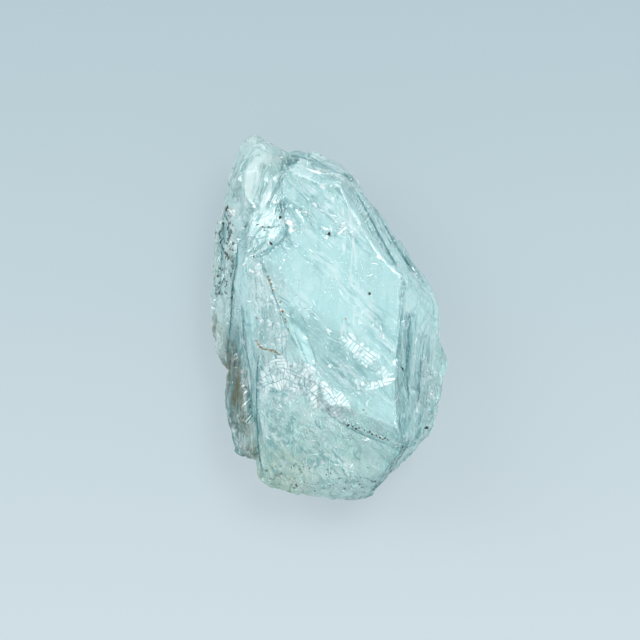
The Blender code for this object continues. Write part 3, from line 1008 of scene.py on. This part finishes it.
FILMS = [
    (-0.25, 0.84, 0.5, 0.20, 0), (-0.13, 0.79, 1.4, 0.45, -15), (-0.02, 0.74, 0.9, 0.40, -60),
    (0.03, 0.70, 0.9, 0.30, -50), (-0.35, 0.74, 0.5, 0.30, -30), (-0.26, 0.67, 2.2, 0.30, -52),
    (0.03, 0.62, 0.7, 0.18, -40), (-0.45, 0.62, 0.8, 0.35, -10), (-0.34, 0.51, 1.2, 0.60, -40),
    (-0.32, 0.47, 0.9, 0.40, -60), (-0.03, 0.48, 1.0, 0.30, -20), (0.09, 0.46, 1.2, 0.35, 35),
    (0.13, 0.48, 0.7, 0.20, 35), (-0.81, 0.58, 1.5, 0.50, -50), (-0.70, 0.29, 0.9, 0.30, 40),
    (-0.63, 0.25, 0.8, 0.40, 0), (-0.53, 0.09, 0.9, 0.15, -60), (-0.66, 0.09, 0.4, 0.15, 0),
    (-0.37, 0.31, 0.4, 0.20, 0), (0.34, 0.23, 0.6, 0.15, 30), (0.63, 0.26, 1.2, 0.30, -60),
    (0.67, 0.21, 0.6, 0.30, -60), (0.27, -0.35, 0.8, 0.40, 60), (0.47, -0.35, 1.1, 0.35, 30),
    (0.51, -0.30, 0.6, 0.20, 20), (0.83, -0.29, 0.6, 0.30, -50), (0.86, -0.42, 0.8, 0.25, -50),
    (0.17, -0.81, 1.1, 0.20, 50), (0.07, -0.80, 0.5, 0.15, 40), (-0.48, -0.03, 0.6, 0.30, 45),
    (0.08, -0.45, 0.8, 0.50, 50), (-0.41, 0.87, 0.9, 0.30, 20), (0.02, 0.30, 0.6, 0.1, -10),
    (0.27, 0.03, 0.5, 0.1, 60), (-0.15, 0.36, 0.8, 0.1, -40), (0.30, 0.40, 0.7, 0.1, -30),
]
FILM_ROWS = 24
FILM_COLUMNS = 110
FILM_KNOTS = 28

# The middle line of each sheet, with its half width in mm.
FILM_SHEETS = {
    "mosaic_film": [
        (-0.60, -0.38, 0.2), (-0.50, -0.33, 1.2), (-0.38, -0.30, 1.5), (-0.22, -0.335, 1.5),
        (-0.06, -0.42, 1.15), (0.05, -0.495, 0.75), (0.14, -0.565, 0.15),
    ],
    "diagonal_film": [
        (0.10, -0.10, 0.15), (0.20, -0.155, 0.55), (0.32, -0.215, 0.80), (0.42, -0.275, 0.5),
        (0.50, -0.31, 0.15),
    ],
    "scale_film": [(0.20, -0.33, 0.15), (0.32, -0.365, 0.35), (0.45, -0.345, 0.35), (0.55, -0.32, 0.1)],
    "short_film": [(0.02, -0.37, 0.1), (0.09, -0.42, 0.40), (0.15, -0.47, 0.35), (0.19, -0.52, 0.1)],
}


def film_sheet(draws, path):
    """Points, faces and course coordinates of a thin closed sheet that follows the skin.

    Its grid runs along the path and across its width. The two long edges wander, and the sheet is
    made of an upper and a lower grid joined round their rim.
    """
    line = along_path(path, FILM_COLUMNS)
    centre = line[:, :2] * half[:2] / MM
    heading = np.gradient(centre, axis=0)
    step = np.linalg.norm(heading, axis=1)
    heading /= step[:, None]
    sideways = np.stack([-heading[:, 1], heading[:, 0]], 1)
    fine, knots = np.linspace(0, 1, FILM_COLUMNS), np.linspace(0, 1, FILM_KNOTS)
    wander = [np.interp(fine, knots, draws.uniform(0.55, 1.25, FILM_KNOTS)) for _ in range(2)]
    share = np.linspace(-1, 1, FILM_ROWS)[None]
    edge = np.where(share < 0, wander[0][:, None], wander[1][:, None])
    across = share * edge * line[:, 2:3]
    spots = centre[:, None] + sideways[:, None] * across[..., None]
    places = spots * MM / half[:2]
    top = below(places, -0.006 * MM).reshape(-1, 3)
    bottom = below(places, 0.05 * MM).reshape(-1, 3)
    travelled = np.broadcast_to(np.cumsum(step)[:, None], across.shape)
    course = np.stack([travelled, across, 0 * across], -1).reshape(-1, 3)
    i, j = np.indices((FILM_COLUMNS - 1, FILM_ROWS - 1)).reshape(2, -1)
    a = i * FILM_ROWS + j
    upper = np.stack([a, a + FILM_ROWS, a + FILM_ROWS + 1, a + 1], 1)
    count = FILM_COLUMNS * FILM_ROWS
    last = (FILM_COLUMNS - 1) * FILM_ROWS
    rim = np.concatenate([
        np.arange(0, last, FILM_ROWS), last + np.arange(FILM_ROWS - 1),
        last + FILM_ROWS - 1 - np.arange(0, last, FILM_ROWS), np.arange(FILM_ROWS - 1, 0, -1),
    ])
    after = np.roll(rim, -1)
    walls = np.stack([rim, rim + count, after + count, after], 1)
    faces = np.concatenate([upper, upper[:, ::-1] + count, walls])
    return np.concatenate([top, bottom]), faces.tolist(), np.concatenate([course, course])


mirror, tree, shader = new_material("plated silver film")
place = tree.nodes.new("ShaderNodeTexCoord").outputs["Object"]
along_course = attribute_of(tree, "course").outputs["Vector"]
plates = add(tree, silvery_plates, Course=along_course, Place=place).outputs["Colour"]
patches = noise_at(tree, place, 900.0, 3.0)
colour = mixed(tree, ranged(tree, patches, 0.40, 0.60, 0.55, 0.0), plates, (0.45, 0.62, 0.64, 1))
wire(tree, mixed(tree, 1.0, colour, (0.57, 0.62, 0.62, 1), "MULTIPLY"), shader.inputs["Base Color"])
wire(tree, ranged(tree, patches, 0.3, 0.7, 0.2, 0.45), shader.inputs["Roughness"])
wire(tree, ranged(tree, patches, 0.36, 0.44, 0.15, 0.9), shader.inputs["Alpha"])
bump = add(tree, "ShaderNodeBump", Strength=0.5, Distance=0.05 * MM, Height=patches)
wire(tree, bump.outputs["Normal"], shader.inputs["Normal"])
for name, path in FILM_SHEETS.items():
    points, faces, course = film_sheet(rng, path)
    sheet = new_piece(name, points, faces, mirror, "silver_fracture")
    keep_on(sheet.data, "course", "FLOAT_VECTOR", course)

# These flat lenses are painted reflections: pale solid mirrors in the silvery film colour.
flashes = lenses(rng, FILMS, rise=0.03 * MM, sink=0.10 * MM)
new_piece("silver_films", *flashes, silver, "silver_fracture")

# ------------------------------------------------------------------------------------------------
# The mineral grains. Black and brown grains grew with the real crystal, and are sealed in it or
# broken open at its skin. The largest stand alone, small ones follow one healed crack, and specks
# lie along the end of the lower face and down the left side.

GRAINS = [
    (0.01, 0.63, 0.30, 0.16, -40), (0.00, 0.45, 0.34, 0.26, 80), (-0.40, 0.54, 0.34, 0.26, 30),
    (-0.48, 0.40, 0.40, 0.22, -50), (-0.59, 0.50, 0.22, 0.16, 30), (-0.55, 0.49, 0.20, 0.14, 0),
    (-0.50, 0.49, 0.18, 0.24, 0), (-0.53, 0.47, 0.12, 0.12, 0), (-0.62, 0.33, 0.30, 0.16, -40),
    (0.33, 0.13, 0.26, 0.24, 0), (0.17, 0.60, 0.14, 0.10, 0), (0.60, -0.27, 0.50, 0.14, -55),
    (-0.855, 0.60, 0.45, 0.26, 75), (0.82, -0.60, 0.34, 0.22, 20), (-0.37, 0.66, 0.10, 0.10, 0),
    (-0.29, 0.58, 0.10, 0.10, 0), (-0.55, 0.70, 0.10, 0.10, 0), (0.30, -0.51, 0.12, 0.12, 0),
    (0.28, -0.49, 0.22, 0.10, 30), (-0.20, 0.05, 0.12, 0.08, 0), (-0.13, 0.02, 0.30, 0.07, -50),
    (-0.80, 0.20, 0.3, 0.12, 70), (-0.93, 0.23, 0.34, 0.2, 20), (-0.92, 0.19, 0.3, 0.2, 60),
]
LOWER_SEAM = [(0.13, -0.57), (0.235, -0.585), (0.36, -0.62), (0.47, -0.65), (0.62, -0.70)]


def strewn(draws, count, *ranges):
    """Rows of numbers drawn at random, one column for each of the ranges."""
    return np.column_stack([draws.uniform(*limits, count) for limits in ranges])


dots = along_path(LOWER_SEAM, 26) + rng.normal(0, 0.004, (26, 2))
dots = np.column_stack([dots, rng.uniform(0.08, 0.22, (26, 2)), rng.uniform(0, 180, 26)])
bottom = strewn(rng, 60, (-0.55, 0.40), (-0.95, -0.80), (0.06, 0.20), (0.05, 0.12), (0, 180))
side = strewn(rng, 90, (-0.94, -0.80), (0.10, 0.60), (0.06, 0.34), (0.04, 0.10), (50, 120))
mineral = plain_material("dark mineral", (0.020, 0.012, 0.008), 0.6, 0.15)
grains = lenses(rng, np.concatenate([GRAINS, dots, bottom, side]), rise=0.07 * MM, sink=0.12 * MM, grown=1.3)
new_piece("mineral_grains", *grains, mineral, "dark_mineral")

# ------------------------------------------------------------------------------------------------
# The iron stain. Rusty water has dried in two cracks of the real stone, as a string of brown beads
# and as an orange line.

BEADS = [
    (-0.50, 0.22, 0.22, 0.16, 0), (-0.49, 0.205, 0.24, 0.22, 0), (-0.475, 0.18, 0.2, 0.2, 0),
    (-0.465, 0.15, 0.26, 0.24, 0), (-0.40, 0.085, 0.2, 0.18, 0), (-0.385, 0.035, 0.26, 0.22, 0),
    (-0.36, -0.005, 0.16, 0.16, 0), (-0.355, -0.02, 0.14, 0.2, 0), (-0.335, -0.06, 0.14, 0.16, 0),
    (-0.60, 0.00, 0.2, 0.1, -60), (-0.585, -0.02, 0.16, 0.08, -60), (-0.70, -0.11, 0.14, 0.1, 0),
    (0.135, -0.005, 0.2, 0.12, -40), (0.16, -0.035, 0.12, 0.1, 0),
]
RUST_LINE = [
    (-0.605, -0.12), (-0.58, -0.145), (-0.55, -0.165), (-0.51, -0.17), (-0.46, -0.175), (-0.41, -0.19),
]
rusty_dots = along_path(RUST_LINE, 16) + rng.normal(0, 0.003, (16, 2))
rusty_dots = np.column_stack([rusty_dots, strewn(rng, 16, (0.16, 0.34), (0.10, 0.16), (-40, 0))])
iron = plain_material("iron stain", (0.17, 0.088, 0.018), 0.7, 0.15)
beads = lenses(rng, BEADS, rise=0.07 * MM, sink=0.12 * MM, grown=1.35)
new_piece("iron_beads", *beads, iron, "iron_stain")
new_piece("iron_line", *joined([
    strand(RUST_LINE, 40, width=0.035 * MM, depth=0.0, wobble=0.03 * MM, seed=5),
    strand(RUST_LINE, 40, width=0.025 * MM, depth=0.0, wobble=0.06 * MM, seed=6),
    lenses(rng, rusty_dots, rise=0.03 * MM, sink=0.1 * MM),
]), iron, "iron_stain")

# ------------------------------------------------------------------------------------------------
# The floor, the light and the camera, which are not part of the object.

FLOOR_GAP = 0.05 * MM
FLOOR_FADE = 30 * MM
FLOOR_NEAR = (0.0885, 0.1030, 0.1092, 1)
FLOOR_FAR = (0.0650, 0.0826, 0.0906, 1)
FLOOR_GLOW = 5.0

bpy.ops.mesh.primitive_plane_add(size=3, location=(0, 0, low[2] - FLOOR_GAP))
floor = bpy.context.object
floor.name = "floor"
paper, tree, shader = new_material("pale paper")
shader.inputs["Roughness"].default_value = 0.8
shader.inputs["Specular IOR Level"].default_value = 0.2
place = tree.nodes.new("ShaderNodeTexCoord").outputs["Object"]
farther = parts_of(tree, "ShaderNodeSeparateXYZ", place)["Y"]
grey = mixed(tree, ranged(tree, farther, -FLOOR_FADE, FLOOR_FADE, 0.0, 1.0), FLOOR_NEAR, FLOOR_FAR)
wire(tree, grey, shader.inputs["Base Color"])
wire(tree, grey, shader.inputs["Emission Color"])
shader.inputs["Emission Strength"].default_value = FLOOR_GLOW
floor.data.materials.append(paper)


def soft_box(name, place, size, power):
    """A square white area light that faces the stone."""
    lamp = bpy.data.lights.new(name, "AREA")
    lamp.size = size
    lamp.energy = power
    made = bpy.data.objects.new(name, lamp)
    made.location = place
    made.rotation_euler = (-Vector(place)).to_track_quat("-Z", "Y").to_euler()
    bpy.context.scene.collection.objects.link(made)


soft_box("key", (0.20, 0.26, 0.50), 0.25, 3.0)
soft_box("fill", (-0.40, 0.22, 0.42), 0.30, 2.3)

world = bpy.data.worlds.new("studio")
bpy.context.scene.world = world
world.use_nodes = True
tree = world.node_tree
sky = tree.nodes["Background"].inputs
towards = tree.nodes.new("ShaderNodeTexCoord").outputs["Generated"]
upwards = parts_of(tree, "ShaderNodeSeparateXYZ", towards)["Z"]
sky["Color"].default_value = (0.93, 0.98, 1.0, 1)
wire(tree, ranged(tree, upwards, 0.05, 0.55, 0.45, 1.1), sky["Strength"])

FRAME_WIDTH = 2.686 * 2 * half[0]
VIEW_CENTRE = (middle[0] - 0.0378 * 2 * half[0], middle[1] - 0.0055 * 2 * half[1])
CAMERA_HEIGHT = 0.30
lens = bpy.data.cameras.new("camera")
lens.lens = lens.sensor_width * CAMERA_HEIGHT / FRAME_WIDTH
lens.clip_start = 0.01
camera = bpy.data.objects.new("camera", lens)
camera.location = (*VIEW_CENTRE, CAMERA_HEIGHT + core[2])
bpy.context.scene.collection.objects.link(camera)
bpy.context.scene.camera = camera
bpy.context.scene.view_settings.view_transform = "Standard"
